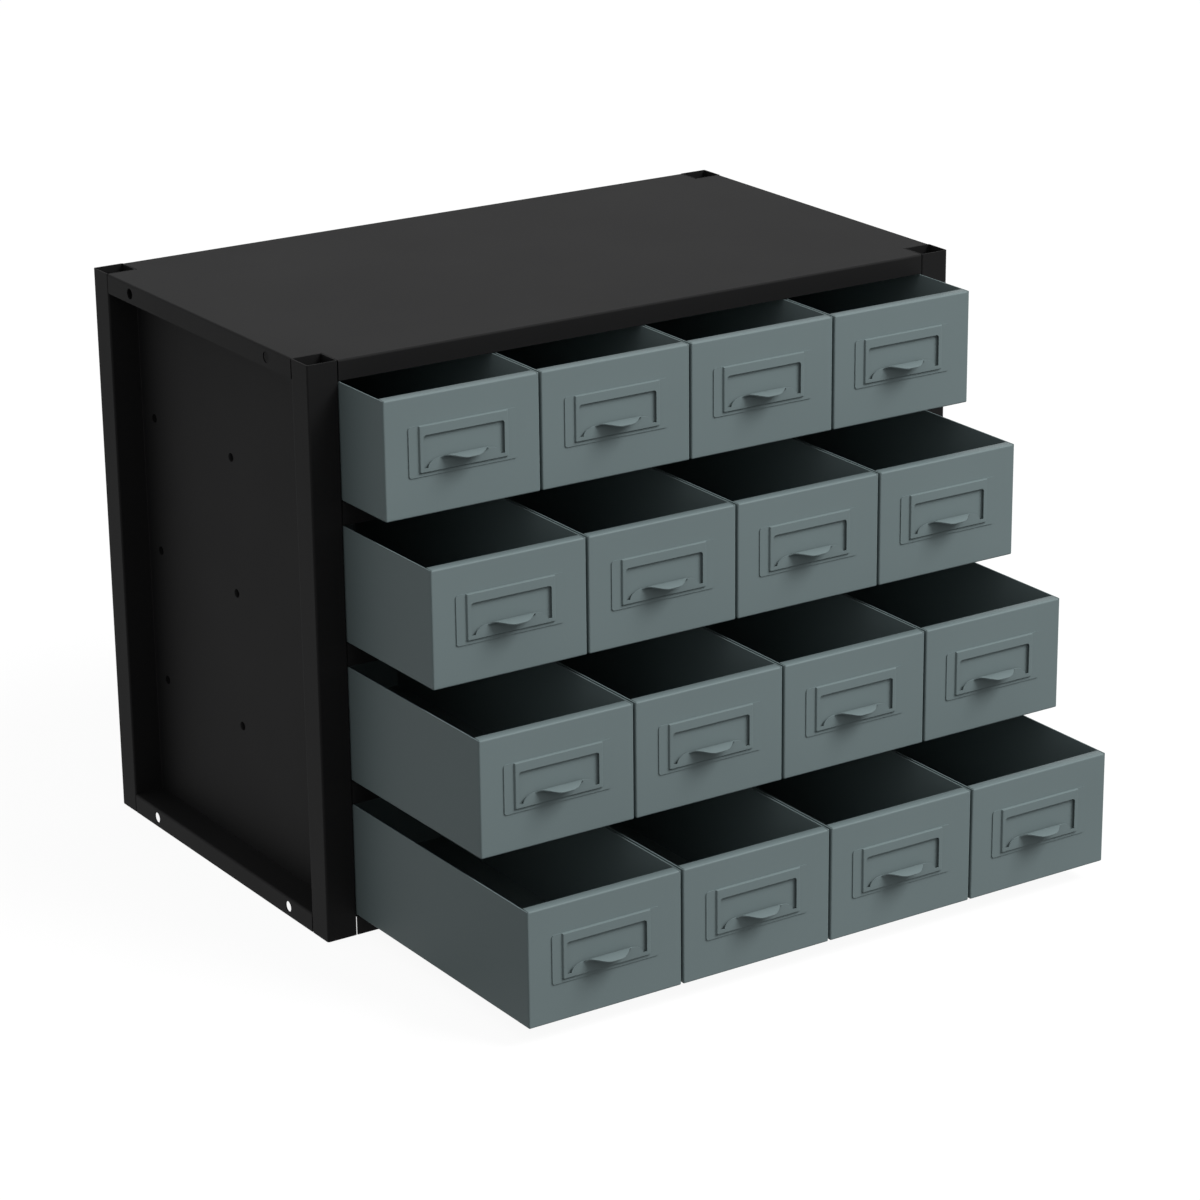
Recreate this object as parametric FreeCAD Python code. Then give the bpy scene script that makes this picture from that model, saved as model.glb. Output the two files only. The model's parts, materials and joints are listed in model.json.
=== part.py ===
"""Sheet-steel parts bin cabinet with four rows of four drawers.

Lengths are millimetres. X is the width, the drawers open towards -Y, Z is up.
The origin is the middle of the cabinet's footprint, on the floor.
Each piece is written to parts/NODE.step at the place it has at rest, with
every row of drawers pulled out one step further than the row above it.
"""
import FreeCAD, Part
import math
import os

from FreeCAD import Vector

# Cabinet body
cabinet_width = 610.0
cabinet_depth = 355.0
cabinet_height = 474.0
body_sheet = 1.0
body_bend = 1.0
bend_shares = (0.0, 0.33, 0.67, 1.0)
wide_bend_radius = 3.0
wide_bend_shares = (0.0, 0.2, 0.4, 0.6, 0.8, 1.0)
row_count = 4
column_count = 4

# Corner posts, folded from the side panels' edges
post_width = 26.6
post_depth = 25.0
post_seam = 0.5

# Top and bottom panels: a flat sheet with four flanges turned down
panel_flange = 16.2
panel_seam = 0.4
flange_hole_radius = 4.5
flange_hole_inset = 39.0

# Shelves between the rows
shelf_flange = 19.2
shelf_corner_relief = 5.0
shelf_rivet_inset = 45.5
shelf_rivets_along = 3

# Back panel, riveted over the rear posts and flanges
back_sheet = 1.0
back_margin = 4.0
back_rivets_up = 5

# Blind rivets
rivet_radius = 2.0
rivet_hole_clearance = 0.1
rivet_head_radius = 3.6
rivet_head_height = 1.1
rivet_tail_radius = 3.0
rivet_tail_height = 1.0
rivet_crown_share = 0.55
rivet_sides = 6

# Guide strips that keep the columns of drawers apart
guide_sheet = 1.2
guide_height = 18.0
guide_end_gap = 9.0
guide_tab_length = 20.0
guide_tab_drop = 1.5
guide_tab_count = 3
guide_tab_clearance = 0.1

# Drawers
drawer_sheet = 0.9
drawer_bend = 1.1
side_clearance = 0.6
column_gap = 2.0
floor_clearance = 0.4
head_clearance = 0.8
rear_clearance = 1.5
hem_depth = 9.0
hem_slot = 0.6
first_row_pullout = 65.0
row_pullout_step = 63.2

# Stop ears on the drawers' side walls, which catch the flange above
ear_length = 22.0
ear_height = 7.0
ear_inset = 4.0
ear_to_rear = 45.0

# Label holder and pull, one stamping on each drawer front
holder_sheet = 0.8
holder_width = 96.0
holder_height = 40.2
holder_above_floor = 31.0
holder_corner_radius = 2.2
pocket_width = 79.2
pocket_lift = 1.6
pocket_bottom_margin = 2.6
window_width = 71.6
window_height = 26.2
window_above_pocket = 3.8
window_corner_radius = 2.4
hill_half_width = 32.2
hill_rise = 7.0
hill_flank_flats = 4
lip_half_width = 21.0
lip_nose_half_width = 4.0
lip_rise = 9.0
lip_reach = 15.7
lip_drop = 1.7
lip_bend_radius = 4.0
lip_end_stub = 0.6
lip_fullness_share = 0.6
lip_side_flats = 6

# Overrun of cutting tools beyond the metal they cut
overrun = 2.0

# Sizes that follow from the ones above
inner_width = cabinet_width - 2 * post_width
inner_half_width = inner_width / 2
front_y = -cabinet_depth / 2
rear_y = cabinet_depth / 2
left_x = -cabinet_width / 2
panel_y_low = front_y + post_depth
panel_y_high = rear_y - post_depth
cell_height = (
    cabinet_height - 2 * panel_flange - (row_count - 1) * shelf_flange
) / row_count
row_pitch = cell_height + shelf_flange
drawer_width = (
    inner_width - 2 * side_clearance - (column_count - 1) * column_gap
) / column_count
drawer_half_width = drawer_width / 2
column_pitch = drawer_width + column_gap
drawer_height = cell_height - floor_clearance - head_clearance
drawer_length = cabinet_depth - rear_clearance
rivet_hole_radius = rivet_radius + rivet_hole_clearance


def level_top(row):
    """Height of the sheet that a row of drawers stands on; row 1 is the top row."""
    return panel_flange + (row_count - row) * row_pitch


def column_x(column):
    """Middle of a column of drawers; column 1 is at the left."""
    return (column - (column_count + 1) / 2) * column_pitch


def guide_x(guide):
    """Middle of the gap to the right of a column."""
    return (guide - column_count / 2) * column_pitch


def row_pullout(row):
    """How far a row stands out of the cabinet at rest."""
    return first_row_pullout + (row - 1) * row_pullout_step


def box(low, high):
    """Block between two opposite corners."""
    return Part.makeBox(
        high[0] - low[0], high[1] - low[1], high[2] - low[2], Vector(*low)
    )


def moved(shape, x=0.0, y=0.0, z=0.0):
    """A copy of a shape, shifted."""
    copy = shape.copy()
    copy.translate(Vector(x, y, z))
    return copy


def mirrored_x(shape):
    """A copy of a shape, mirrored from the left side of the cabinet to the right."""
    return shape.mirror(Vector(0, 0, 0), Vector(1, 0, 0))


def fused(shapes):
    """Several touching solids as one, with split faces joined."""
    return shapes[0].fuse(shapes[1:]).removeSplitter()


def offset_points(points, distance):
    """Corners of a path moved sideways; a positive distance lies to its left."""
    moved_points = []
    for index, point in enumerate(points):
        before = points[max(index - 1, 0)]
        after = points[min(index + 1, len(points) - 1)]
        incoming = (point - before) if index > 0 else (after - point)
        outgoing = (after - point) if index < len(points) - 1 else (point - before)
        incoming.normalize()
        outgoing.normalize()
        left_in = Vector(-incoming.y, incoming.x, 0)
        left_out = Vector(-outgoing.y, outgoing.x, 0)
        bisector = left_in + left_out
        moved_points.append(point + bisector * (distance * 2 / bisector.dot(bisector)))
    return moved_points


def bend_points(before, corner, after, radius):
    """Points round a bend of a given radius, which is made in a few flats. A wide
    bend has more of them than a tight one."""
    back = (before - corner).normalize()
    ahead = (after - corner).normalize()
    half_angle = math.acos(max(-1.0, min(1.0, back.dot(ahead)))) / 2
    middle_way = (back + ahead).normalize()
    centre = corner + middle_way * (radius / math.sin(half_angle))
    start = corner + back * (radius / math.tan(half_angle)) - centre
    axis = back.cross(ahead)
    sweep = math.degrees(math.pi - 2 * half_angle)
    shares = wide_bend_shares if radius > wide_bend_radius else bend_shares
    return [
        centre + FreeCAD.Rotation(axis, -sweep * share).multVec(start)
        for share in shares
    ]


def bent_path(points, radii):
    """Points of a path whose inner corners are bends, each with its own radius."""
    path = [points[0]]
    for index in range(1, len(points) - 1):
        before, corner, after = points[index - 1 : index + 2]
        path += bend_points(before, corner, after, radii[index])
    return path + [points[-1]]


def sheet_section(corners, sheet, bend):
    """Face of a folded sheet seen end on; bend is the radius at mid thickness."""
    points = [Vector(u, v, 0) for u, v in corners]
    half = sheet / 2
    turns = [0.0] * len(points)
    for index in range(1, len(points) - 1):
        incoming = points[index] - points[index - 1]
        outgoing = points[index + 1] - points[index]
        turns[index] = math.copysign(1.0, incoming.cross(outgoing).z)
    left = bent_path(
        offset_points(points, half), [bend - turn * half for turn in turns]
    )
    right = bent_path(
        offset_points(points, -half), [bend + turn * half for turn in turns]
    )
    outline = left + right[::-1]
    return Part.Face(Part.makePolygon(outline + outline[:1]))


def sheet_along_z(corners, sheet, bend, low, high):
    """Folded sheet whose section is drawn in X and Y."""
    solid = sheet_section(corners, sheet, bend).extrude(Vector(0, 0, high - low))
    return moved(solid, z=low)


def sheet_along_y(corners, sheet, bend, low, high):
    """Folded sheet whose section is drawn in X and Z."""
    solid = sheet_section(corners, sheet, bend).extrude(Vector(0, 0, low - high))
    solid.rotate(Vector(0, 0, 0), Vector(1, 0, 0), 90)
    return moved(solid, y=low)


def sheet_along_x(corners, sheet, bend, low, high):
    """Folded sheet whose section is drawn in Y and Z."""
    solid = sheet_section(corners, sheet, bend).extrude(Vector(0, 0, high - low))
    solid.rotate(Vector(0, 0, 0), Vector(1, 1, 1), 120)
    return moved(solid, x=low)


def drilled(shape, radius, places, axis, depth):
    """A shape with round holes; each starts at its place and runs along the axis."""
    start = axis * -overrun
    tools = [
        Part.makeCylinder(radius, depth + 2 * overrun, place + start, axis)
        for place in places
    ]
    return shape.cut(tools)


def facet_ring(radius, height):
    """Closed outline of a small round thing, drawn with a few flats."""
    corners = [
        Vector(
            radius * math.cos(2 * math.pi * index / rivet_sides),
            radius * math.sin(2 * math.pi * index / rivet_sides),
            height,
        )
        for index in range(rivet_sides)
    ]
    return Part.makePolygon(corners + corners[:1])


def facet_rod(radius, low, high):
    """Small round rod along Z, drawn with a few flats."""
    return Part.Face(facet_ring(radius, low)).extrude(Vector(0, 0, high - low))


def rivet_drilled(shape, places, axis, depth):
    """A shape with the small holes that rivets pass through."""
    tools = []
    for place in places:
        tool = facet_rod(rivet_hole_radius, -depth - overrun, overrun)
        turn = FreeCAD.Rotation(Vector(0, 0, -1), axis)
        tool.Placement = FreeCAD.Placement(place, turn)
        tools.append(tool)
    return shape.cut(tools)


# Body
def folded_pan(half_x, low_y, high_y, side_low_y, side_high_y, end_half_x, top, drop):
    """Flat sheet with four flanges turned down and an open notch at each corner."""
    middle = top - body_sheet / 2
    bottom = top - drop
    inset = body_sheet / 2
    across = sheet_along_y(
        [
            (-half_x + inset, bottom),
            (-half_x + inset, middle),
            (half_x - inset, middle),
            (half_x - inset, bottom),
        ],
        body_sheet, body_bend, side_low_y, side_high_y,
    )
    along = sheet_along_x(
        [
            (low_y + inset, bottom),
            (low_y + inset, middle),
            (high_y - inset, middle),
            (high_y - inset, bottom),
        ],
        body_sheet, body_bend, -end_half_x, end_half_x,
    )
    return fused([across, along])


def flange_hole_places(height):
    """Centres of the two mounting holes in a panel's left flange."""
    return [
        Vector(left_x, y, height)
        for y in (panel_y_low + flange_hole_inset, panel_y_high - flange_hole_inset)
    ]


def back_rivet_columns():
    """Places of the rivets that hold the back panel to the rear posts."""
    post_middle = (cabinet_width - post_width) / 2
    low = panel_flange / 2
    step = (cabinet_height - 2 * low) / (back_rivets_up - 1)
    return [
        Vector(side * post_middle, rear_y + back_sheet, low + index * step)
        for side in (-1, 1)
        for index in range(back_rivets_up)
    ]


def back_rivet_rows():
    """Places of the rivets that hold the back panel to the two rear flanges."""
    heights = (panel_flange / 2, cabinet_height - panel_flange / 2)
    return [
        Vector(guide_x(guide), rear_y + back_sheet, height)
        for height in heights
        for guide in range(1, column_count)
    ]


def outer_panel(top):
    """Top or bottom panel: the same pan, notched round the four posts."""
    pan = folded_pan(
        cabinet_width / 2, front_y, rear_y,
        panel_y_low + panel_seam, panel_y_high - panel_seam,
        inner_half_width - panel_seam, top, panel_flange,
    )
    places = flange_hole_places(top - panel_flange / 2)
    pan = drilled(pan, flange_hole_radius, places, Vector(1, 0, 0), cabinet_width)
    rivets = [
        place for place in back_rivet_rows() if abs(place.z - top) < panel_flange
    ]
    return rivet_drilled(pan, rivets, Vector(0, -1, 0), back_sheet + body_sheet)


def guide_slots(row):
    """Slots in a level's sheet for the tabs of its guide strips."""
    half = guide_sheet / 2 + guide_tab_clearance
    top = level_top(row)
    return [
        box(
            (guide_x(guide) - half, start - guide_tab_clearance, top - 2 * body_sheet),
            (
                guide_x(guide) + half,
                start + guide_tab_length + guide_tab_clearance,
                top + overrun,
            ),
        )
        for guide in range(1, column_count)
        for start in guide_tab_starts()
    ]


def guide_tab_starts():
    """Front ends of a guide strip's tabs, evenly spread along it."""
    low = front_y + guide_end_gap
    high = rear_y - guide_end_gap
    free = (high - low - guide_tab_count * guide_tab_length) / guide_tab_count
    return [
        low + free / 2 + index * (guide_tab_length + free)
        for index in range(guide_tab_count)
    ]


def shelf_rivet_places(row):
    """Places of the rivets through the left side panel and a shelf's side flange."""
    height = level_top(row) - shelf_flange / 2
    step = (cabinet_depth - 2 * shelf_rivet_inset) / (shelf_rivets_along - 1)
    return [
        Vector(
            -inner_half_width - body_sheet,
            front_y + shelf_rivet_inset + index * step,
            height,
        )
        for index in range(shelf_rivets_along)
    ]


def shelf(row):
    """Shelf under a row: flat sheet with flanges down on all four sides."""
    top = level_top(row)
    pan = folded_pan(
        inner_half_width, front_y, rear_y,
        front_y + shelf_corner_relief, rear_y - shelf_corner_relief,
        inner_half_width, top, shelf_flange,
    )
    pan = pan.cut(guide_slots(row))
    places = shelf_rivet_places(row)
    pan = rivet_drilled(pan, places, Vector(1, 0, 0), 2 * body_sheet)
    opposite = [Vector(-place.x, place.y, place.z) for place in places]
    return rivet_drilled(pan, opposite, Vector(-1, 0, 0), 2 * body_sheet)


def left_side_panel():
    """Side panel: one sheet folded into a closed post at the front and at the rear."""
    inset = body_sheet / 2
    inner_x = -inner_half_width - inset
    outer_x = left_x + inset
    front_seam_y = panel_y_low - body_sheet - post_seam
    rear_seam_y = panel_y_high + body_sheet + post_seam
    section = [
        (inner_x, front_seam_y),
        (inner_x, front_y + inset),
        (outer_x, front_y + inset),
        (outer_x, panel_y_low - inset),
        (inner_x, panel_y_low - inset),
        (inner_x, panel_y_high + inset),
        (outer_x, panel_y_high + inset),
        (outer_x, rear_y - inset),
        (inner_x, rear_y - inset),
        (inner_x, rear_seam_y),
    ]
    panel = sheet_along_z(section, body_sheet, body_bend, 0, cabinet_height)
    web_low = (left_x - overrun, panel_y_low)
    web_high = (-inner_half_width + overrun, panel_y_high)
    above = box(
        (*web_low, cabinet_height - body_sheet), (*web_high, cabinet_height + overrun)
    )
    below = box((*web_low, -overrun), (*web_high, panel_flange))
    panel = panel.cut([above, below])
    places = [
        place for row in range(1, row_count) for place in shelf_rivet_places(row)
    ]
    panel = rivet_drilled(panel, places, Vector(1, 0, 0), body_sheet)
    backs = [place for place in back_rivet_columns() if place.x < 0]
    return rivet_drilled(panel, backs, Vector(0, -1, 0), back_sheet + body_sheet)


def back_panel():
    """Flat back sheet, drilled for its rivets."""
    sheet = box(
        (left_x + back_margin, rear_y, back_margin),
        (-left_x - back_margin, rear_y + back_sheet, cabinet_height - back_margin),
    )
    places = back_rivet_columns() + back_rivet_rows()
    return rivet_drilled(sheet, places, Vector(0, -1, 0), back_sheet)


def rivet(place, axis, grip):
    """Blind rivet: domed head at its place, shank through the grip, tail beyond."""
    head = Part.makeLoft(
        [
            facet_ring(rivet_head_radius, 0),
            facet_ring(rivet_head_radius * rivet_crown_share, rivet_head_height),
        ],
        True, True,
    )
    shank = facet_rod(rivet_radius, -grip, 0)
    tail = facet_rod(rivet_tail_radius, -grip - rivet_tail_height, -grip)
    solid = fused([head, shank, tail])
    turn = FreeCAD.Rotation(Vector(0, 0, -1), axis)
    solid.Placement = FreeCAD.Placement(place, turn)
    return solid


def guide_strip(row, guide):
    """Flat strip on edge, with tabs through the slots of the sheet below it."""
    half = guide_sheet / 2
    top = level_top(row)
    x = guide_x(guide)
    strip = box(
        (x - half, front_y + guide_end_gap, top),
        (x + half, rear_y - guide_end_gap, top + guide_height),
    )
    tabs = [
        box(
            (x - half, start, top - body_sheet - guide_tab_drop),
            (x + half, start + guide_tab_length, top),
        )
        for start in guide_tab_starts()
    ]
    return fused([strip] + tabs)


# Drawers
def drawer():
    """Drawer at its own origin: middle of the width, front face, underside."""
    inset = drawer_sheet / 2
    wrap = sheet_along_x(
        [
            (hem_depth, drawer_height - inset),
            (inset, drawer_height - inset),
            (inset, inset),
            (drawer_length - inset, inset),
            (drawer_length - inset, drawer_height),
        ],
        drawer_sheet, drawer_bend, -drawer_half_width, drawer_half_width,
    )
    sides = [
        box(
            (edge - drawer_sheet * (side + 1) / 2, drawer_bend, inset),
            (
                edge - drawer_sheet * (side - 1) / 2,
                drawer_length - drawer_bend,
                drawer_height,
            ),
        )
        for side, edge in ((-1, -drawer_half_width), (1, drawer_half_width))
    ]
    shell = fused([wrap] + sides + stop_ears())
    return shell.cut(hem_slots()).removeSplitter()


def hem_slots():
    """Gaps between the ends of the front's folded hem and the side walls."""
    inner = drawer_half_width - drawer_sheet
    low = drawer_height - drawer_bend - drawer_sheet
    return [
        box(
            (min(side * inner, side * (inner - hem_slot)), drawer_bend + drawer_sheet, low),
            (
                max(side * inner, side * (inner - hem_slot)),
                hem_depth + overrun,
                drawer_height + overrun,
            ),
        )
        for side in (-1, 1)
    ]


def stop_ears():
    """Ears formed inwards and up from the tops of both side walls."""
    rear = drawer_length - ear_to_rear
    pieces = []
    for side in (-1, 1):
        outer = side * drawer_half_width
        inner = side * (drawer_half_width - ear_inset)
        upright = inner + side * drawer_sheet
        pieces.append(
            box(
                (min(outer, inner), rear - ear_length, drawer_height - drawer_sheet),
                (max(outer, inner), rear, drawer_height),
            )
        )
        pieces.append(
            box(
                (min(inner, upright), rear - ear_length, drawer_height - drawer_sheet),
                (max(inner, upright), rear, drawer_height + ear_height),
            )
        )
    return pieces


# Label holder and pull
def plate(points, low_y, high_y):
    """Plate standing on edge, whose outline is drawn in X and Z."""
    corners = [Vector(x, low_y, z) for x, z in points]
    wire = Part.makePolygon(corners + corners[:1])
    return Part.Face(wire).extrude(Vector(0, high_y - low_y, 0))


def rounded_outline(half_width, low, high, radii):
    """Rectangle in X and Z whose corners, from lower left round, are rounded."""
    corners = [
        Vector(-half_width, low, 0),
        Vector(half_width, low, 0),
        Vector(half_width, high, 0),
        Vector(-half_width, high, 0),
    ]
    points = []
    for index, corner in enumerate(corners):
        if radii[index]:
            before = corners[index - 1]
            after = corners[(index + 1) % len(corners)]
            points += bend_points(before, corner, after, radii[index])
        else:
            points.append(corner)
    return [(point.x, point.y) for point in points]


def smooth_step(share):
    """Rises from 0 to 1 as the share does, level at both ends."""
    return (1 - math.cos(math.pi * share)) / 2


def hill_outline(base, bend_line):
    """Lower edge of the window: a quarter of an ellipse rises on each side, and the
    lip's bend line lies between the two."""
    flank = hill_half_width - lip_half_width
    left = []
    for index in range(hill_flank_flats + 1):
        turn = math.pi / 2 * index / hill_flank_flats
        across = -hill_half_width + flank * (1 - math.cos(turn))
        left.append((across, base + hill_rise * math.sin(turn)))
    left.append((-lip_half_width, bend_line))
    right = [(-x, z) for x, z in reversed(left)]
    return left + right


def lip_plan(reach):
    """Outline of the lip seen from above: a straight nose, and on each side of it an
    S-shaped flank that ends in a short stub."""
    stub = pocket_lift + holder_sheet + lip_end_stub
    flank = lip_half_width - lip_nose_half_width
    left = []
    for index in range(lip_side_flats + 1):
        share = index / lip_side_flats
        bell = smooth_step(share) ** lip_fullness_share
        left.append((flank * share - lip_half_width, -stub - (reach - stub) * bell))
    right = [(-x, y) for x, y in reversed(left)]
    return left + right


def label_pull():
    """Label holder with its pull, on the front face of a drawer at its own origin."""
    bottom = holder_above_floor
    top = bottom + holder_height
    pocket_bottom = bottom + pocket_bottom_margin
    face_back = -pocket_lift
    face_front = -pocket_lift - holder_sheet
    pocket_half = pocket_width / 2
    wall_half = pocket_half - holder_sheet

    round_all = [holder_corner_radius] * 4
    base = plate(
        rounded_outline(holder_width / 2, bottom, top, round_all), -holder_sheet, 0
    )
    raised = box((-pocket_half, face_front, pocket_bottom), (pocket_half, 0, top))
    hollow = box(
        (-wall_half, face_back, pocket_bottom + holder_sheet),
        (wall_half, overrun, top + overrun),
    )
    window_low = pocket_bottom + window_above_pocket
    window_high = window_low + window_height
    round_top = [0, 0, window_corner_radius, window_corner_radius]
    window = plate(
        rounded_outline(window_width / 2, window_low, window_high, round_top),
        face_front - overrun, face_back + overrun,
    )
    lip_top = window_low + lip_rise
    bend_line = lip_top - holder_sheet - lip_bend_radius
    hill = plate(hill_outline(window_low, bend_line), face_front, face_back)
    body = fused([base, raised]).cut([hollow, window])

    nose = lip_reach + overrun
    middle_front = face_front + holder_sheet / 2
    middle_bend = lip_bend_radius + holder_sheet / 2
    slope = lip_drop / lip_reach
    half_turn = (math.pi / 2 + math.atan(slope)) / 2
    fold = bend_line + middle_bend * math.tan(half_turn)
    tongue = sheet_along_x(
        [
            (middle_front, window_low),
            (middle_front, fold),
            (-nose, fold - (nose + middle_front) * slope),
        ],
        holder_sheet, middle_bend, -lip_half_width, lip_half_width,
    )
    plan_points = [Vector(x, y, window_low) for x, y in lip_plan(lip_reach)]
    inside = [Vector(lip_half_width, 0, window_low), Vector(-lip_half_width, 0, window_low)]
    outline = plan_points + inside
    plan = Part.Face(Part.makePolygon(outline + outline[:1]))
    region = plan.extrude(Vector(0, 0, lip_top - window_low + overrun))
    lip = tongue.common(region)
    return fused([body, hill, lip])


# Writing
def write(name, shape):
    """One file for each piece; a group of like fasteners is one file of solids."""
    solids = shape.Solids
    assert solids and all(solid.isValid() for solid in solids), name
    shape.exportStep("parts/" + name + ".step")
    print(name, len(solids), "solid(s), volume", round(shape.Volume, 1))


def main():
    """Makes every piece and writes it."""
    os.makedirs("parts", exist_ok=True)

    side = left_side_panel()
    write("side_panel_left", side)
    write("side_panel_right", mirrored_x(side))
    write("top_panel", outer_panel(cabinet_height))
    write("bottom_panel", outer_panel(panel_flange).cut(guide_slots(row_count)))
    write("back_panel", back_panel())

    for row in range(1, row_count):
        write("shelf_under_row" + str(row), shelf(row))
    for row in range(1, row_count + 1):
        for guide in range(1, column_count):
            name = "guide_row" + str(row) + "_" + str(guide)
            write(name, guide_strip(row, guide))

    grip = 2 * body_sheet
    left_rivets = [
        rivet(place, Vector(1, 0, 0), grip)
        for row in range(1, row_count)
        for place in shelf_rivet_places(row)
    ]
    write("shelf_rivets_left", Part.makeCompound(left_rivets))
    right_rivets = [mirrored_x(solid) for solid in left_rivets]
    write("shelf_rivets_right", Part.makeCompound(right_rivets))
    back_grip = back_sheet + body_sheet
    back_rivets = [
        rivet(place, Vector(0, -1, 0), back_grip)
        for place in back_rivet_columns() + back_rivet_rows()
    ]
    write("back_rivets", Part.makeCompound(back_rivets))

    one_drawer = drawer()
    one_pull = label_pull()
    for row in range(1, row_count + 1):
        y = front_y - row_pullout(row)
        z = level_top(row) + floor_clearance
        for column in range(1, column_count + 1):
            x = column_x(column)
            place = "_row" + str(row) + "_col" + str(column)
            write("drawer" + place, moved(one_drawer, x, y, z))
            write("label_pull" + place, moved(one_pull, x, y, z))


main()
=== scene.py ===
# %% [markdown]
# This scene dresses a sheet-steel parts cabinet. The construction comes in as a
# fixed frame: every piece already sits at its real size and place, in metres.

# %% Load the frame
import json
import math

import bmesh
import bpy
import numpy as np
from mathutils import Matrix, Vector


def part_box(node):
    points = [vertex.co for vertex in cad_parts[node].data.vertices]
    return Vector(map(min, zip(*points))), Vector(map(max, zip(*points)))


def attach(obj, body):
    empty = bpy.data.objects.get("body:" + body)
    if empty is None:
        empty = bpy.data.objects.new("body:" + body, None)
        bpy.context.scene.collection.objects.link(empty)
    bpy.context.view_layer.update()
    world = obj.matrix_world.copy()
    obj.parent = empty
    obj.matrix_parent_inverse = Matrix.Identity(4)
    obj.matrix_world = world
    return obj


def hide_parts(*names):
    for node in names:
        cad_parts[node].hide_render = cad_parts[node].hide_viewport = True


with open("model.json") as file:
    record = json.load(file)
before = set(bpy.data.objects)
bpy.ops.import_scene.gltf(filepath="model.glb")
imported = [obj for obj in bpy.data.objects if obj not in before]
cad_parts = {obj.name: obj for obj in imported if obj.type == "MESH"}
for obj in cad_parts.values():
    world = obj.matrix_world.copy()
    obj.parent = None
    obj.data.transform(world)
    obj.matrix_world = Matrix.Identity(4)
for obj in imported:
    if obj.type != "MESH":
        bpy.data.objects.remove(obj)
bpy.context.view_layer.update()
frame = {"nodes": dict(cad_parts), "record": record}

MM = 0.001

# %% [markdown]
# The cabinet has rows and columns of like drawers. Their names follow one
# pattern, so two short ranges are all that the later loops need. The size of a
# drawer is read from its box in the frame: all sixteen are alike. The stop ears
# stand above its walls, so they are taken off the height of the box.

# %% Drawers, rows and columns
PLACES = [(row, column) for row in range(1, 5) for column in range(1, 5)]
EAR_HEIGHT = 7.0 * MM


def drawer_node(row, column):
    """Name of a drawer's node, which is also the name of its body."""
    return f"drawer_row{row}_col{column}"


def drawer_origin(row, column):
    """Middle of a drawer's width, at its front face and its underside."""
    low, high = (np.array(corner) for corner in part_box(drawer_node(row, column)))
    return np.array([(low[0] + high[0]) / 2, low[1], low[2]])


low, high = (np.array(corner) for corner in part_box(drawer_node(1, 1)))
DRAWER_WIDTH, DRAWER_LENGTH, DRAWER_HEIGHT = high - low - (0.0, 0.0, EAR_HEIGHT)
print("drawer", DRAWER_WIDTH, DRAWER_LENGTH, DRAWER_HEIGHT)

# %% [markdown]
# Surfaces here are grids of points worked out with numpy as whole arrays. A
# grid has rows and columns, and each square between four neighbours is one
# face. Where a grid is drawn together to a line or a point, its points coincide.
# They are merged when the mesh is made, so nothing is left there but a clean
# edge.

# %% From a grid of points to a mesh
MERGE_DISTANCE = 0.001 * MM


def grid_faces(rows, columns):
    """Corner numbers of the faces of a grid that closes on itself in its columns:
    (i, j), (i, j+1), (i+1, j+1), (i+1, j)."""
    i, j = np.meshgrid(np.arange(rows - 1), np.arange(columns), indexing="ij")
    following = (j + 1) % columns
    corners = [i * columns + j, i * columns + following]
    corners += [(i + 1) * columns + following, (i + 1) * columns + j]
    return np.stack(corners, axis=-1).reshape(-1, 4)


def closed_mesh(name, grids):
    """A smooth mesh of grids of shape (..., rows, columns, 3), without doubles."""
    rows, columns = grids.shape[-3:-1]
    starts = np.arange(0, grids.size // 3, rows * columns)
    faces = (grid_faces(rows, columns) + starts[:, None, None]).reshape(-1, 4)
    mesh = bpy.data.meshes.new(name)
    mesh.from_pydata(grids.reshape(-1, 3).tolist(), [], faces.tolist())
    shape = bmesh.new()
    shape.from_mesh(mesh)
    bmesh.ops.remove_doubles(shape, verts=shape.verts, dist=MERGE_DISTANCE)
    shape.to_mesh(mesh)
    shape.free()
    mesh.shade_smooth()
    return mesh


def placed_object(name, mesh, offset):
    """An object with its own copy of a mesh, moved to its place in the mesh itself,
    so that the object stays at the origin."""
    mesh = mesh.copy()
    points = np.empty(len(mesh.vertices) * 3)
    mesh.vertices.foreach_get("co", points)
    mesh.vertices.foreach_set("co", (points.reshape(-1, 3) + offset).ravel())
    mesh.update()
    piece = bpy.data.objects.new(name, mesh)
    bpy.context.scene.collection.objects.link(piece)
    return piece


# %% [markdown]
# Shader maths reads best as plain expressions. A small class wraps a socket of
# a node tree, so that `1 - mask * 0.5` adds the Math nodes by itself. Any other
# node is made by one method, which sets the node's own settings first and then
# its sockets, from values or from other wrapped sockets.

# %% Shader expressions


class Wave:
    """A socket of a node tree that can be added, subtracted and multiplied."""

    def __init__(self, tree, socket):
        self.tree = tree
        self.socket = socket

    def node(self, kind, settings=None, output=0, **sockets):
        """Any node: its type, its settings, then its sockets by name."""
        return add_node(self.tree, kind, settings, output, **sockets)

    def math(self, operation, other, clamp=False):
        """A Math node on this socket and another value."""
        made = self.tree.nodes.new("ShaderNodeMath")
        made.operation = operation
        made.use_clamp = clamp
        feed(self.tree, self, made.inputs[0])
        feed(self.tree, other, made.inputs[1])
        return Wave(self.tree, made.outputs[0])

    def __add__(self, other):
        return self.math("ADD", other)

    __radd__ = __add__

    def __mul__(self, other):
        return self.math("MULTIPLY", other)

    __rmul__ = __mul__

    def __sub__(self, other):
        return self.math("SUBTRACT", other)

    def __rsub__(self, other):
        return self * -1.0 + other

    def clamped(self):
        """The value held between 0 and 1."""
        return self.math("ADD", 0.0, clamp=True)


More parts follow.
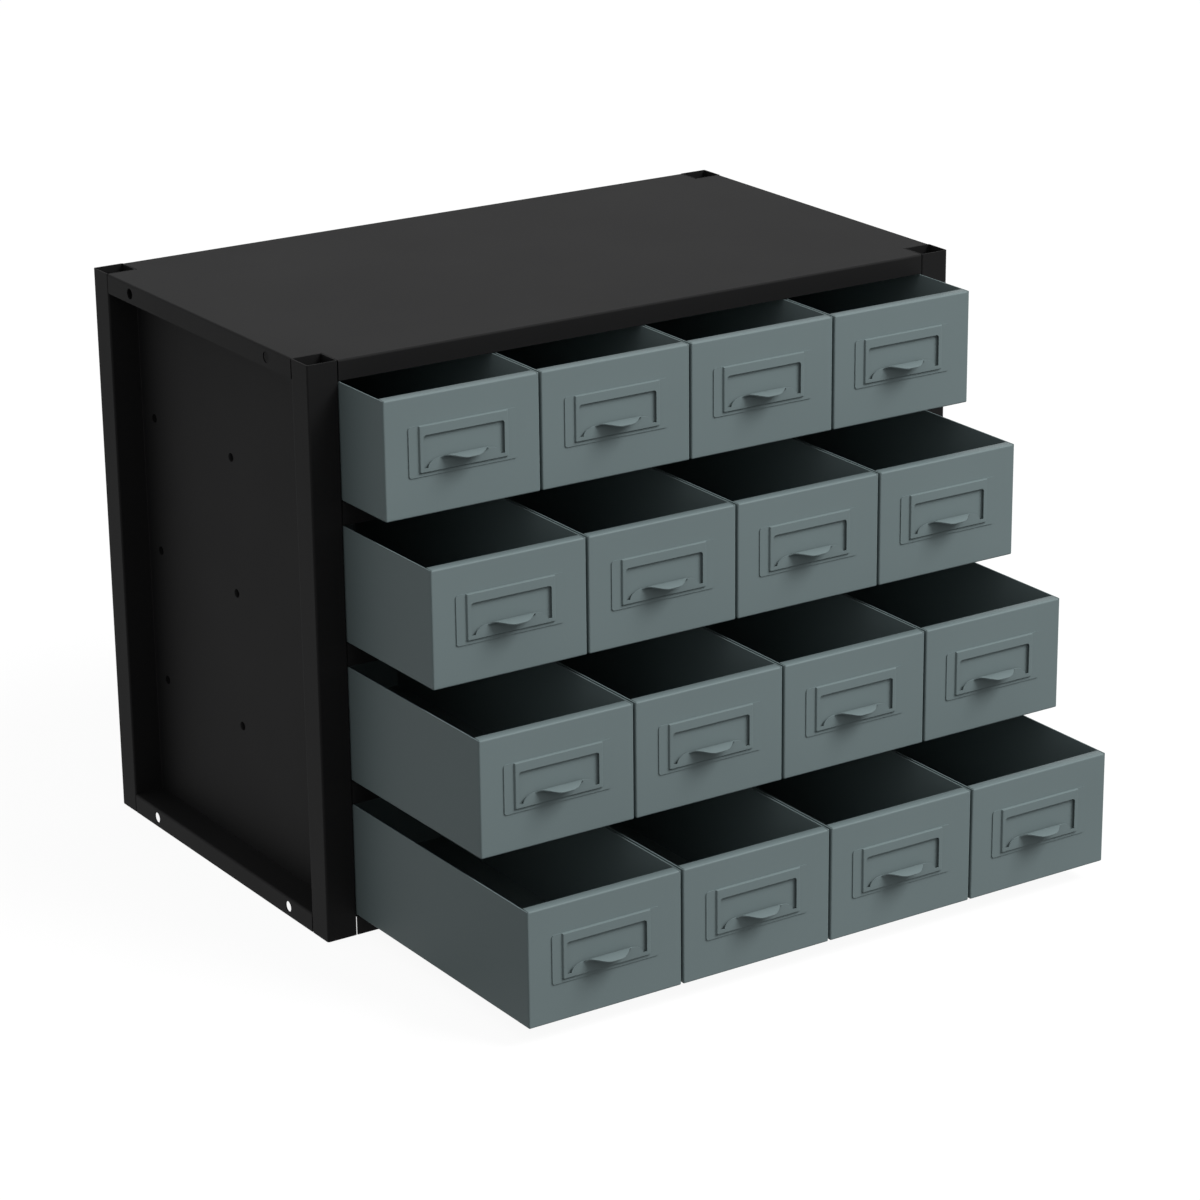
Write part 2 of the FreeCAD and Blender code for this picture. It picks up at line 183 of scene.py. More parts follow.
def feed(tree, value, socket):
    """Links a wrapped socket, or sets a plain value."""
    if isinstance(value, Wave):
        tree.links.new(value.socket, socket)
    else:
        socket.default_value = value


def add_node(tree, kind, settings=None, output=0, **sockets):
    """Makes a node and gives one of its outputs. A socket is named with its spaces
    as underscores, or by its number after the letters in_."""
    made = tree.nodes.new(kind)
    for key, value in (settings or {}).items():
        setattr(made, key, value)
    for key, value in sockets.items():
        name = int(key[3:]) if key.startswith("in_") else key.replace("_", " ")
        feed(tree, value, made.inputs[name])
    return Wave(tree, made.outputs[output])


def mixed_colour(tree, share, dark, light):
    """A Mix node between two colours, by a share from 0 to 1."""
    settings = {"data_type": "RGBA"}
    return add_node(
        tree, "ShaderNodeMix", settings, output=2, in_0=share, in_6=dark, in_7=light
    )


# %% [markdown]
# Both paints are polyester powder coats, baked on. The powder melts into a skin
# with a faint orange peel a millimetre or two across and a finer grain in it.
# The colour is even, with slow drifts of a few percent where the coat is
# thicker. Roughness varies more than colour does, and that is what makes a
# coated sheet look like metal under paint and not like plastic. The rivets are
# given a duller black, darker than the paint.

# %% Powder coats
DRIFT_SCALE = 9.0
PEEL_SCALE = 620.0
GRAIN_SCALE = 2600.0
DRIFT_CONTRAST = 1.6
ROUGHNESS_DRIFT = 0.07
ROUGHNESS_GRAIN = 0.05
PEEL_SHARE = 0.8
PEEL_STRENGTH = 0.35
PEEL_DEPTH = 0.04 * MM


def powder_coat(name, colour, drift, roughness, specular):
    """Coated steel. The colour is colour (1 ± drift), by a slow noise. The roughness
    adds the slow noise and the grain, each less its middle, 0.5, times its share."""
    material = bpy.data.materials.new(name)
    material.use_nodes = True
    tree = material.node_tree
    shader = tree.nodes["Principled BSDF"]
    place = add_node(tree, "ShaderNodeTexCoord", output=3)
    slow = place.node("ShaderNodeTexNoise", Vector=place, Scale=DRIFT_SCALE, Detail=2.0)
    skin = place.node("ShaderNodeTexNoise", Vector=place, Scale=PEEL_SCALE, Detail=2.0)
    grain = place.node("ShaderNodeTexNoise", Vector=place, Scale=GRAIN_SCALE, Detail=1.0)
    dark = tuple(channel * (1 - drift) for channel in colour) + (1.0,)
    light = tuple(channel * (1 + drift) for channel in colour) + (1.0,)
    blend = ((slow - 0.5) * DRIFT_CONTRAST + 0.5).clamped()
    feed(tree, mixed_colour(tree, blend, dark, light), shader.inputs["Base Color"])
    uneven = (slow - 0.5) * ROUGHNESS_DRIFT + (grain - 0.5) * ROUGHNESS_GRAIN
    feed(tree, uneven + roughness, shader.inputs["Roughness"])
    shader.inputs["Specular IOR Level"].default_value = specular
    height = skin * PEEL_SHARE + grain * (1 - PEEL_SHARE)
    bump = place.node(
        "ShaderNodeBump", Strength=PEEL_STRENGTH, Distance=PEEL_DEPTH, Height=height
    )
    feed(tree, bump, shader.inputs["Normal"])
    return material


black_coat = powder_coat("black_powder_coat", (0.0062, 0.0062, 0.0064), 0.08, 0.66, 0.09)
rivet_finish = powder_coat("rivet_black", (0.0015, 0.0015, 0.0016), 0.20, 0.70, 0.02)
grey_coat = powder_coat("grey_powder_coat", (0.133, 0.170, 0.174), 0.03, 0.45, 0.08)
print("coats", black_coat.name, rivet_finish.name, grey_coat.name)

# %% [markdown]
# The body's sheets keep the shape that they have in the frame: flat panels with
# tight bends. They only get their coat.

# %% Coat the body
cabinet_nodes = frame["record"]["behaviour"]["bodies"]["cabinet"]
for name in cabinet_nodes:
    node = frame["nodes"][name]
    node.data.materials.clear()
    node.data.materials.append(black_coat)
print("coated", len(cabinet_nodes), "nodes of the body")

# %% [markdown]
# Round-head rivets hold the shelves to the side panels and the back panel to the
# body. A rivet is a turned solid: its crown and its tail are half ellipses. The
# places follow from the boxes of the two kinds of node: the outermost heads touch
# their box.

# %% Rivets
HEAD_RADIUS, HEAD_HEIGHT = 3.6 * MM, 1.1 * MM
TAIL_RADIUS, TAIL_HEIGHT = 3.0 * MM, 1.0 * MM
SHANK_RADIUS, GRIP = 2.0 * MM, 2.0 * MM
HEAD_BRIM = 0.2 * MM
TURN_STEPS = 32
CROWN_STEPS = 9
RIVETS_ALONG_SHELF = 3
SHELVES = 3
RIVETS_UP_BACK = 5


def rivet_profile():
    """Rows of (radius, distance out) from the tail's pole to the crown's pole."""
    angle = np.radians(np.linspace(0, 90, CROWN_STEPS))
    tail = [TAIL_RADIUS * np.sin(angle), -GRIP - TAIL_HEIGHT * np.cos(angle)]
    shank = [[SHANK_RADIUS, SHANK_RADIUS, HEAD_RADIUS - HEAD_BRIM], [-GRIP, 0.0, 0.0]]
    crown = [HEAD_RADIUS * np.cos(angle), HEAD_HEIGHT * np.sin(angle)]
    return np.concatenate([tail, shank, crown], axis=1).T


def rivet_piece(name, centres, outward):
    """Rivets at their centres: centre + distance out + radius (cos t up + sin t across)."""
    outward, up = np.array(outward), np.array([0.0, 0.0, 1.0])
    turn = np.linspace(0, 2 * math.pi, TURN_STEPS, endpoint=False)[:, None]
    ring = np.cos(turn) * up + np.sin(turn) * np.cross(outward, up)
    radius, distance = rivet_profile().T[..., None, None]
    solid = radius * ring + distance * outward
    grids = np.array(centres)[:, None, None] + solid
    piece = placed_object(name + "_turned", closed_mesh(name, grids), (0.0, 0.0, 0.0))
    piece.data.materials.append(rivet_finish)
    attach(piece, "cabinet")
    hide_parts(name)
    return len(centres)


def inner_box(node):
    """Centres of the outermost heads across, along and up, from a node's box."""
    low, high = (np.array(corner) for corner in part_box(node))
    return low + HEAD_RADIUS, high - HEAD_RADIUS


# %% [markdown]
# Each shelf is held by three rivets on either side, and the heads point outwards.
# The back panel has a column of five at each edge, and one between each two
# columns of drawers at its top and bottom.

# %% Make the rivets
for side, facing in (("left", -1.0), ("right", 1.0)):
    node = f"shelf_rivets_{side}"
    low, high = inner_box(node)
    face = max(np.abs(np.array(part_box(node))[:, 0])) - HEAD_HEIGHT
    along = np.linspace(low[1], high[1], RIVETS_ALONG_SHELF)
    up = np.linspace(low[2], high[2], SHELVES)
    centres = [(facing * face, y, z) for y in along for z in up]
    print(node, rivet_piece(node, centres, (facing, 0.0, 0.0)))
low, high = inner_box("back_rivets")
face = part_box("back_rivets")[1][1] - HEAD_HEIGHT
between = [(drawer_origin(1, i)[0] + drawer_origin(1, i + 1)[0]) / 2 for i in (1, 2, 3)]
up = np.linspace(low[2], high[2], RIVETS_UP_BACK)
centres = [(x, face, z) for x in (low[0], high[0]) for z in up]
centres += [(x, face, z) for x in between for z in (low[2], high[2])]
print("back_rivets", rivet_piece("back_rivets", centres, (0.0, 1.0, 0.0)))

# %% [markdown]
# A drawer is a folded bin: floor and walls of one thickness, with small bends
# between them. The top of its front is a hem, bent back over the bin, which
# shows as the broad pale band along every front. The skin is one closed grid.
# Its columns go round the bin, and its rows follow the sheet's section: from
# the middle of the floor up the inner wall, over the rim and down the outside.
# Only the part of the section at the rim differs from place to place, so each
# column blends three kinds of rim: plain, hemmed, or with a stop ear.

# %% Sections of a drawer's rim
SHEET = 0.9 * MM
BEND_OUTER = 1.15 * MM
BEND_INNER = BEND_OUTER - SHEET
CORNER_RADIUS = 1.2 * MM
HEM_DEPTH = 9.0 * MM
HEM_SLOT = 0.6 * MM
EDGE_SOFTNESS = 0.12 * MM
SUPPORT = 0.6 * MM
EAR_INSET = 4.0 * MM
ARC_STEPS = 6


def arc(centre_u, centre_v, radius, start, end, steps=ARC_STEPS):
    """Points on an arc: centre + radius (cos a, sin a), a in degrees."""
    angle = np.radians(np.linspace(start, end, steps))
    return np.stack(
        [centre_u + radius * np.cos(angle), centre_v + radius * np.sin(angle)], 1
    )


def rim_sections():
    """The three rims as rows of (distance in from the outer face, height). All have
    as many points, so that they can be blended point by point."""
    top = DRAWER_HEIGHT
    soft = EDGE_SOFTNESS
    bend_z = top - BEND_OUTER
    inner = arc(BEND_OUTER, bend_z, BEND_INNER, 180, 90)
    outer = arc(BEND_OUTER, bend_z, BEND_OUTER, 90, 180)
    hem = np.concatenate([
        inner,
        [
            [HEM_DEPTH - soft, top - SHEET], [HEM_DEPTH, top - SHEET + soft],
            [HEM_DEPTH, top - soft], [HEM_DEPTH - soft, top],
        ],
        outer,
    ])
    rise = np.linspace(bend_z, top - soft, ARC_STEPS)
    plain = np.concatenate([
        np.stack([np.full(ARC_STEPS, SHEET), rise], 1),
        [[SHEET - soft, top], [SHEET - 2 * soft, top], [2 * soft, top], [soft, top]],
        np.stack([np.zeros(ARC_STEPS), rise[::-1]], 1),
    ])
    up = np.linspace(bend_z, top - SHEET, ARC_STEPS)
    down = np.linspace(top, bend_z, ARC_STEPS)
    ear = np.concatenate([
        np.stack([np.full(ARC_STEPS, SHEET), up], 1),
        [
            [EAR_INSET, top - SHEET], [EAR_INSET, top + EAR_HEIGHT],
            [EAR_INSET - SHEET, top + EAR_HEIGHT], [EAR_INSET - SHEET, top],
        ],
        np.stack([np.zeros(ARC_STEPS), down], 1),
    ])
    return np.stack([plain, hem, ear])


# %% [markdown]
# Seen from above the drawer is a rounded rectangle. Each column of the grid has
# a foot on the line one corner radius inside the outer face, and a direction
# that points straight out; a point at some distance in lies on that line. The
# narrow pairs of columns beside the hem and the ears are where one rim changes
# into another, and they make the cut ends of those tongues.

# %% Columns round a drawer
HEM_HALF = DRAWER_WIDTH / 2 - SHEET - HEM_SLOT
CUT = 0.02 * MM
EAR_FROM = DRAWER_LENGTH - 67.0 * MM
EAR_TO = DRAWER_LENGTH - 45.0 * MM
PLAIN, HEM, EAR = np.eye(3)


def side_columns(start, end, stations, kinds):
    """Columns along a straight side: foot points between start and end at the given
    distances from the start, their outward direction, and their rims."""
    start, end = np.array(start), np.array(end)
    along = (end - start) / np.linalg.norm(end - start)
    outward = np.array([along[1], -along[0]])
    feet = start + np.array(stations)[:, None] * along
    return feet, np.tile(outward, (len(stations), 1)), np.array(kinds)


def corner_columns(centre, start_angle):
    """Columns round a quarter turn at a corner, where the rim is plain."""
    angle = np.radians(start_angle + np.linspace(0, 90, ARC_STEPS)[1:-1])
    outward = np.stack([np.cos(angle), np.sin(angle)], 1)
    return np.tile(centre, (len(angle), 1)), outward, np.tile(PLAIN, (len(angle), 1))


def drawer_columns():
    """All columns, counterclockwise seen from above, from the front's left end."""
    half = DRAWER_WIDTH / 2 - CORNER_RADIUS
    front, rear = CORNER_RADIUS, DRAWER_LENGTH - CORNER_RADIUS
    width, length = 2 * half, rear - front
    hem_start = half - HEM_HALF
    front_stations = [0, hem_start, hem_start + CUT, hem_start + SUPPORT, half]
    front_stations += [width - station for station in front_stations[-2::-1]]
    front_kinds = [PLAIN, PLAIN, HEM, HEM, HEM, HEM, HEM, PLAIN, PLAIN]
    ear = [EAR_FROM - front, EAR_TO - front]
    ear_stations = [ear[0] - CUT, ear[0], ear[1], ear[1] + CUT]
    right_stations = [0, SUPPORT, *ear_stations, length - SUPPORT, length]
    left_stations = [length - station for station in right_stations[::-1]]
    side_kinds = [PLAIN, PLAIN, PLAIN, EAR, EAR, PLAIN, PLAIN, PLAIN]
    parts = [
        side_columns((-half, front), (half, front), front_stations, front_kinds),
        corner_columns((half, front), -90),
        side_columns((half, front), (half, rear), right_stations, side_kinds),
        corner_columns((half, rear), 0),
        side_columns(
            (half, rear), (-half, rear), [0, SUPPORT, width - SUPPORT, width], [PLAIN] * 4
        ),
        corner_columns((-half, rear), 90),
        side_columns((-half, rear), (-half, front), left_stations, side_kinds),
        corner_columns((-half, front), 180),
    ]
    return [np.concatenate(values) for values in zip(*parts)]


def drawer_grid():
    """The drawer's skin. A point is foot + outward (corner radius - distance in), and
    near the floor it is also held inside the walls, so that corners don't cross."""
    feet, outward, kinds = drawer_columns()
    rims = np.tensordot(kinds, rim_sections(), axes=1).transpose(1, 0, 2)
    count = len(feet)
    low_inner = np.concatenate([
        [[BEND_OUTER + SUPPORT, SHEET]],
        arc(BEND_OUTER, BEND_OUTER, BEND_INNER, 270, 180),
        [[SHEET, BEND_OUTER + SUPPORT], [SHEET, DRAWER_HEIGHT - BEND_OUTER - SUPPORT]],
    ])
    low_outer = np.concatenate([
        [[0, DRAWER_HEIGHT - BEND_OUTER - SUPPORT], [0, BEND_OUTER + SUPPORT]],
        arc(BEND_OUTER, BEND_OUTER, BEND_OUTER, 180, 270),
        [[BEND_OUTER + SUPPORT, 0]],
    ])
    sections = np.concatenate([
        np.repeat(low_inner[:, None], count, axis=1),
        rims,
        np.repeat(low_outer[:, None], count, axis=1),
    ])
    inset, height = sections[..., 0], sections[..., 1]
    plan = feet + outward * (CORNER_RADIUS - inset)[..., None]
    floor = height < BEND_OUTER
    limit_x = DRAWER_WIDTH / 2 - inset
    x = np.where(floor, np.clip(plan[..., 0], -limit_x, limit_x), plan[..., 0])
    y = np.where(floor, np.clip(plan[..., 1], inset, DRAWER_LENGTH - inset), plan[..., 1])
    skin = np.stack([x, y, height], axis=-1)
    middle = np.array([0.0, DRAWER_LENGTH / 2, 0.0])
    inside = np.tile(middle + (0, 0, SHEET), (1, count, 1))
    outside = np.tile(middle, (1, count, 1))
    return np.concatenate([inside, skin, outside])[:, ::-1]


# %% [markdown]
# All sixteen drawers are alike, so one mesh is made and copied to each place. A
# drawer takes the place of its plain node and rides on that drawer's body.

# %% Make the drawers
drawer_mesh = closed_mesh("drawer", drawer_grid())
for row, column in PLACES:
    body = drawer_node(row, column)
    place = drawer_origin(row, column)
    piece = placed_object(f"bin_row{row}_col{column}", drawer_mesh, place)
    piece.data.materials.append(grey_coat)
    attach(piece, body)
    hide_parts(body)
print("drawers made", len(PLACES), "faces each", len(drawer_mesh.polygons))

# %% [markdown]
# The label holder is one stamping: a plate with a card pocket pressed forward
# out of it, a window in the pocket, and a tongue that stays on along the
# window's lower edge and bends outwards as the finger pull. The plate is drawn
# as loops from the window's edge out to the plate's edge. How far it stands
# forward is a function of place alone: full height in the pocket, falling to
# nothing over a narrow step at its left, right and lower sides. The pocket
# stays open at the top, where the card goes in.

# %% Sizes of the label holder
HOLDER_SHEET = 0.8 * MM
HOLDER_HALF = 48.0 * MM
HOLDER_LOW = 31.0 * MM
HOLDER_HIGH = 71.2 * MM
HOLDER_CORNER = 2.2 * MM
POCKET_HALF = 39.6 * MM
POCKET_LOW = 33.6 * MM
POCKET_LIFT = 1.6 * MM
STEP_WIDTH = 1.2 * MM
WINDOW_HALF = 35.8 * MM
WINDOW_LOW = 37.4 * MM
WINDOW_HIGH = 63.6 * MM
WINDOW_CORNER = 2.4 * MM
HILL_HALF = 32.2 * MM
HILL_RISE = 7.0 * MM
LIP_HALF = 21.0 * MM
LIP_NOSE_HALF = 4.0 * MM
LIP_TOP = 46.4 * MM
LIP_REACH = 15.5 * MM
LIP_STUB = 3.0 * MM
LIP_BEND = 4.4 * MM
LIP_ROLL = 26.0 * MM
LIP_FULLNESS = 0.6


def smooth_step(share):
    """Rises from 0 to 1 as the share does, level at both ends: (1 - cos(pi s)) / 2."""
    return (1 - np.cos(math.pi * np.clip(share, 0.0, 1.0))) / 2


print("plate from", HOLDER_LOW, "to", HOLDER_HIGH, "above the drawer's underside")

# %% [markdown]
# Each loop of the plate has the same stations along its lower edge, so the
# columns of the grid run straight from the tongue down through the plate. The
# stations crowd together where the outline turns most.

# %% Loops of the plate
SHARP_CORNER = 0.05 * MM
POCKET_CORNER = 1.0 * MM
TOP_STEP = 0.08 * MM
END_RAMP = 0.5 * MM
LIP_COLUMNS = 35
LOOP_STEPS = 8


def bottom_stations():
    """Places along the window's lower edge: its ends, both flanks of the hill, and
    the lip between them. They are denser at the flank's foot and the lip's ends."""
    flank = HILL_HALF - LIP_HALF
    angle = np.radians(np.linspace(0, 90, 10))
    left = -HILL_HALF + flank * (1 - np.cos(angle))
    lip = -(LIP_HALF - END_RAMP) * np.cos(np.linspace(0, math.pi, LIP_COLUMNS))
    return np.concatenate([left, lip, -left[::-1]])


def plate_loop(half, low, high, low_radius, high_radius, stations):
    """Rounded rectangle in X and Z: along the bottom at the given stations, then up
    the right side, back along the top and down the left side."""
    bottom = np.stack([stations, np.full(len(stations), low)], 1)
    lower, upper = half - low_radius, half - high_radius
    return np.concatenate([
        bottom,
        arc(lower, low + low_radius, low_radius, -90, 0),
        arc(upper, high - high_radius, high_radius, 0, 90),
        arc(-upper, high - high_radius, high_radius, 90, 180),
        arc(-lower, low + low_radius, low_radius, 180, 270),
    ])


def plate_loops():
    """From the window's edge, over the pocket's step, to the plate's own edge."""
    stations = bottom_stations()
    window = plate_loop(
        WINDOW_HALF, WINDOW_LOW, WINDOW_HIGH, SHARP_CORNER, WINDOW_CORNER, stations
    )
    loops = [window]
    for index, share in enumerate(np.linspace(0.0, 1.0, LOOP_STEPS)):
        half = POCKET_HALF - STEP_WIDTH * (1 - share)
        low = POCKET_LOW + STEP_WIDTH * (1 - share)
        high = HOLDER_HIGH - TOP_STEP * (LOOP_STEPS - index)
        loops.append(plate_loop(half, low, high, POCKET_CORNER, SHARP_CORNER, stations))
    corners = (HOLDER_CORNER, HOLDER_CORNER)
    loops.append(plate_loop(HOLDER_HALF, HOLDER_LOW, HOLDER_HIGH, *corners, stations))
    return np.stack(loops)


def plate_depth(x, z):
    """Middle of the sheet in front of the drawer: half the sheet, and the pocket's
    lift times a smooth step of the distance in from its sides and its bottom."""
    side = smooth_step((POCKET_HALF - np.abs(x)) / STEP_WIDTH)
    bottom = smooth_step((z - POCKET_LOW) / STEP_WIDTH)
    return HOLDER_SHEET / 2 + POCKET_LIFT * side * bottom


# %% [markdown]
# The tongue is worked out along its section, as a toolmaker would. It stands up
# from the window's lower edge to the bend line, goes round a quarter turn with a
# small radius, and from the crest it rolls on slowly, so that its nose falls a
# little. How far it reaches at each place across is a straight nose with an
# S-shaped flank on each side. Beside the lip the tongue stays flat, and its edge
# comes down as a quarter of an ellipse.

# %% The bent tongue
BEND_LINE = LIP_TOP - HOLDER_SHEET / 2 - LIP_BEND
QUARTER = LIP_BEND * math.pi / 2
FACE_DEPTH = POCKET_LIFT + HOLDER_SHEET / 2
BEND_ROWS = 11


def flank_height(x):
    """Edge of the flat tongue: rise sqrt(1 - (1 - s)^2), s the share of the way in."""
    share = np.clip((HILL_HALF - np.abs(x)) / (HILL_HALF - LIP_HALF), 0.0, 1.0)
    return WINDOW_LOW + HILL_RISE * np.sqrt(1 - (1 - share) ** 2)


def lip_length(x):
    """Length of sheet from the bend line to the lip's edge. The edge stands at a depth
    of stub + (reach - stub) (smooth step)^fullness; the arc gives the length."""
    share = (LIP_HALF - np.abs(x)) / (LIP_HALF - LIP_NOSE_HALF)
    edge = LIP_STUB + (LIP_REACH - LIP_STUB) * smooth_step(share) ** LIP_FULLNESS
    out = edge - FACE_DEPTH
    round_bend = LIP_BEND * np.arccos(np.clip(1 - out / LIP_BEND, 0.0, 1.0))
    rolled = LIP_ROLL * np.arcsin(np.clip((out - LIP_BEND) / LIP_ROLL, 0.0, 1.0))
    return round_bend + rolled


def tongue_rows(columns):
    """Rows from the tongue's free edge down to the window's lower edge, for all
    columns of the plate. Away from the hill all rows lie on the window's edge."""
    x, base = columns[:, 0], columns[:, 1]
    on_edge = base < WINDOW_LOW + MERGE_DISTANCE
    lip = on_edge & (np.abs(x) < LIP_HALF - END_RAMP / 2)
    hill = on_edge & (np.abs(x) <= HILL_HALF)
    edge = np.where(hill, flank_height(x), base)
    edge = np.where(lip, BEND_LINE + lip_length(x), edge)
    bend = np.maximum(BEND_LINE, base)
    start, end = np.minimum(edge, bend), np.minimum(edge, bend + QUARTER)
    stretches = [
        base + (start - base) * np.linspace(0, 1, 4)[:-1, None],
        start + (end - start) * np.linspace(0, 1, BEND_ROWS)[:-1, None],
        end + (edge - end) * np.linspace(0, 1, 9)[:, None],
    ]
    travel = np.concatenate(stretches)[::-1]
    past = np.where(lip, travel - bend, 0.0)
    angle = np.clip(past / LIP_BEND, 0.0, math.pi / 2)
    roll = np.clip(past - QUARTER, 0.0, None) / LIP_ROLL
    flat_z = np.where(lip, np.minimum(travel, bend), travel)
    depth = FACE_DEPTH + LIP_BEND * (1 - np.cos(angle)) + LIP_ROLL * np.sin(roll)
    height = flat_z + LIP_BEND * np.sin(angle) - LIP_ROLL * (1 - np.cos(roll))
    return np.stack([np.broadcast_to(x, travel.shape), -depth, height], axis=-1)


def holder_grid():
    """Tongue and plate as one grid at the middle of the sheet."""
    loops = plate_loops()
    plate = np.stack(
        [loops[..., 0], -plate_depth(loops[..., 0], loops[..., 1]), loops[..., 1]], axis=-1
    )
    return np.concatenate([tongue_rows(loops[0])[:-1], plate])


# %% [markdown]
# The grid lies in the middle of the sheet, and a solidify gives it its thickness
# to both sides. A tiny bevel takes the edge off the cuts, as the coat does.

# %% Make the label holders
CUT_SOFTNESS = 0.08 * MM
CUT_ANGLE = math.radians(55)
holder_mesh = closed_mesh("label_holder", holder_grid())
for row, column in PLACES:
    body = drawer_node(row, column)
    piece = placed_object(
        f"label_holder_row{row}_col{column}", holder_mesh, drawer_origin(row, column)
    )
    piece.data.materials.append(grey_coat)
    wall = piece.modifiers.new("sheet", "SOLIDIFY")
    wall.thickness = HOLDER_SHEET
    wall.offset = 0.0
    soft = piece.modifiers.new("cut_edges", "BEVEL")
    soft.width = CUT_SOFTNESS
    soft.segments = 2
    soft.limit_method = "ANGLE"
    soft.angle_limit = CUT_ANGLE
    flat = piece.modifiers.new("flat_faces", "WEIGHTED_NORMAL")
    flat.keep_sharp = True
    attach(piece, body)
    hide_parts(f"label_pull_row{row}_col{column}")
print("label holders made", len(PLACES), "faces each", len(holder_mesh.polygons))

# %% [markdown]
# The floor is white to the camera and in reflections: most of that is its own
# glow, and a thin share of plain paper takes a faint shadow of the cabinet. To
# all other rays it is dark paper, so that it sends little light back up.

# %% Floor
FLOOR_REACH = 30.0
FLOOR_GAP = 0.2 * MM
floor_mesh = bpy.data.meshes.new("floor")
floor_mesh.from_pydata(
    [(x, y, -FLOOR_GAP) for x, y in (
        (-FLOOR_REACH, -FLOOR_REACH), (FLOOR_REACH, -FLOOR_REACH),
        (FLOOR_REACH, FLOOR_REACH), (-FLOOR_REACH, FLOOR_REACH),
    )],
    [], [(0, 1, 2, 3)],
)
floor = bpy.data.objects.new("floor", floor_mesh)
bpy.context.scene.collection.objects.link(floor)


def shown_ray(tree):
    """1 for rays that the camera sees, directly, in a gloss or through glass."""
    rays = tree.nodes.new("ShaderNodeLightPath").outputs
    camera_ray = Wave(tree, rays["Is Camera Ray"])
    glossy = Wave(tree, rays["Is Glossy Ray"])
    through = Wave(tree, rays["Is Transmission Ray"])
    return camera_ray.math("MAXIMUM", glossy).math("MAXIMUM", through)


floor_material = bpy.data.materials.new("studio_floor")
floor_material.use_nodes = True
tree = floor_material.node_tree
tree.nodes.remove(tree.nodes["Principled BSDF"])
FLOOR_GLOW = 0.93
SHOWN_PAPER = (0.09, 0.09, 0.09, 1.0)
LIGHT_PAPER = (0.08, 0.08, 0.08, 1.0)
glow = add_node(tree, "ShaderNodeEmission", Strength=FLOOR_GLOW)
faint = add_node(tree, "ShaderNodeBsdfDiffuse", Color=SHOWN_PAPER)
shown = add_node(tree, "ShaderNodeAddShader", in_0=faint, in_1=glow)
paper = add_node(tree, "ShaderNodeBsdfDiffuse", Color=LIGHT_PAPER)
mix = add_node(tree, "ShaderNodeMixShader", in_0=shown_ray(tree), in_1=paper, in_2=shown)
feed(tree, mix, tree.nodes["Material Output"].inputs["Surface"])
floor_mesh.materials.append(floor_material)
print("floor", FLOOR_REACH, "m each way, glow", FLOOR_GLOW)

# %% [markdown]
# One wide lamp stands to the right, in front and above. The sky gives the rest
# of the light: little from the horizon, more from overhead, ahead and high on
# the left, and a little from behind. That lights the fronts, reaches into the
# bins and leaves the sides quiet. Rays that the camera sees find a white sky.

# %% Sky and lamp
HORIZON_STRENGTH = 0.03
ZENITH_RISE = 0.42
FRONT_RISE = 0.68
REAR_RISE = 0.15
LEFT_RISE = 0.60
world = bpy.data.worlds.new("studio_sky")
bpy.context.scene.world = world
world.use_nodes = True
tree = world.node_tree
direction = add_node(tree, "ShaderNodeTexCoord", output=0)
across = direction.node("ShaderNodeSeparateXYZ", output=0, Vector=direction)
depth = direction.node("ShaderNodeSeparateXYZ", output=1, Vector=direction)
height = direction.node("ShaderNodeSeparateXYZ", output=2, Vector=direction)
above = height.math("MAXIMUM", 0.0)
ahead = (depth * -1.0).math("MAXIMUM", 0.0) * FRONT_RISE
behind = depth.math("MAXIMUM", 0.0) * REAR_RISE
left = (across * -1.0).math("MAXIMUM", 0.0) * above * LEFT_RISE
light = above * ZENITH_RISE + ahead + behind + left + HORIZON_STRENGTH
strength = light.math("MAXIMUM", shown_ray(tree))
feed(tree, (1.0, 1.0, 1.0, 1.0), tree.nodes["Background"].inputs["Color"])
feed(tree, strength, tree.nodes["Background"].inputs["Strength"])


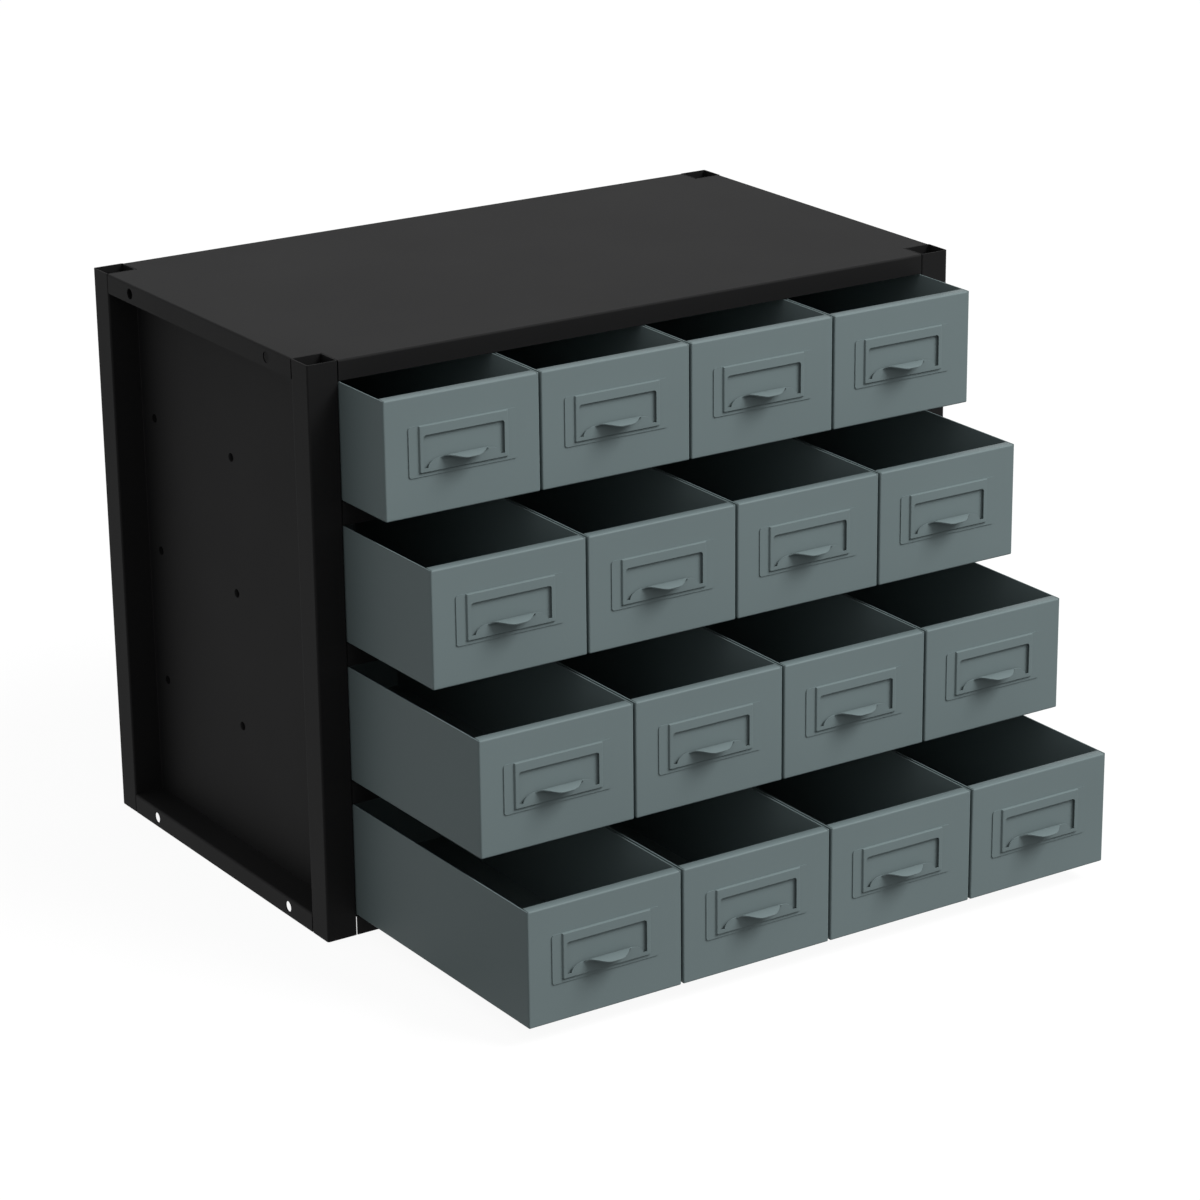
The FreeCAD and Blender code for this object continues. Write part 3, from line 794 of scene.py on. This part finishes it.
def lamp(name, place, aim, size, power):
    """A square area lamp at a place, turned to face a point."""
    data = bpy.data.lights.new(name, "AREA")
    data.shape = "SQUARE"
    data.size = size
    data.energy = power
    made = bpy.data.objects.new(name, data)
    bpy.context.scene.collection.objects.link(made)
    made.location = place
    made.rotation_euler = (Vector(aim) - Vector(place)).to_track_quat("-Z", "Y").to_euler()
    return made


KEY_PLACE, KEY_AIM = (2.83, -3.62, 4.80), (0.0, 0.0, 0.2)
KEY_SIZE, KEY_POWER = 3.0, 440.0
key = lamp("key_lamp", KEY_PLACE, KEY_AIM, KEY_SIZE, KEY_POWER)
print("lamp", key.name, "at", KEY_PLACE)

# %% [markdown]
# The camera stands where the photograph was taken from. The straight edges of
# the cabinet in the picture give its place, its turn and its focal length. It is
# a long lens, high on the left, and the picture is a part of its frame a little
# off the middle, which a small shift stands for.

# %% Camera
CAMERA_PLACE = (-1.68342, -2.68795, 1.29230)
CAMERA_FORWARD = (0.540135, 0.768865, -0.342199)
CAMERA_RIGHT = (0.818354, -0.574714, 0.000423)
PICTURE = 1200.0
FOCAL_PIXELS = 3936.4
AXIS_PIXEL = (726.45, 639.59)
SENSOR = 36.0
CLIP_END = 200.0

camera_data = bpy.data.cameras.new("camera")
camera_data.sensor_fit = "HORIZONTAL"
camera_data.sensor_width = SENSOR
camera_data.lens = FOCAL_PIXELS / PICTURE * SENSOR
camera_data.shift_x = (PICTURE / 2 - AXIS_PIXEL[0]) / PICTURE
camera_data.shift_y = (AXIS_PIXEL[1] - PICTURE / 2) / PICTURE
camera_data.clip_end = CLIP_END
camera = bpy.data.objects.new("camera", camera_data)
bpy.context.scene.collection.objects.link(camera)
bpy.context.scene.camera = camera
right, backward = Vector(CAMERA_RIGHT), -Vector(CAMERA_FORWARD)
turn = Matrix((right, backward.cross(right), backward)).transposed().to_4x4()
camera.matrix_world = Matrix.Translation(CAMERA_PLACE) @ turn
bpy.context.scene.view_settings.view_transform = "Standard"
print("camera lens in mm", round(camera_data.lens, 2))
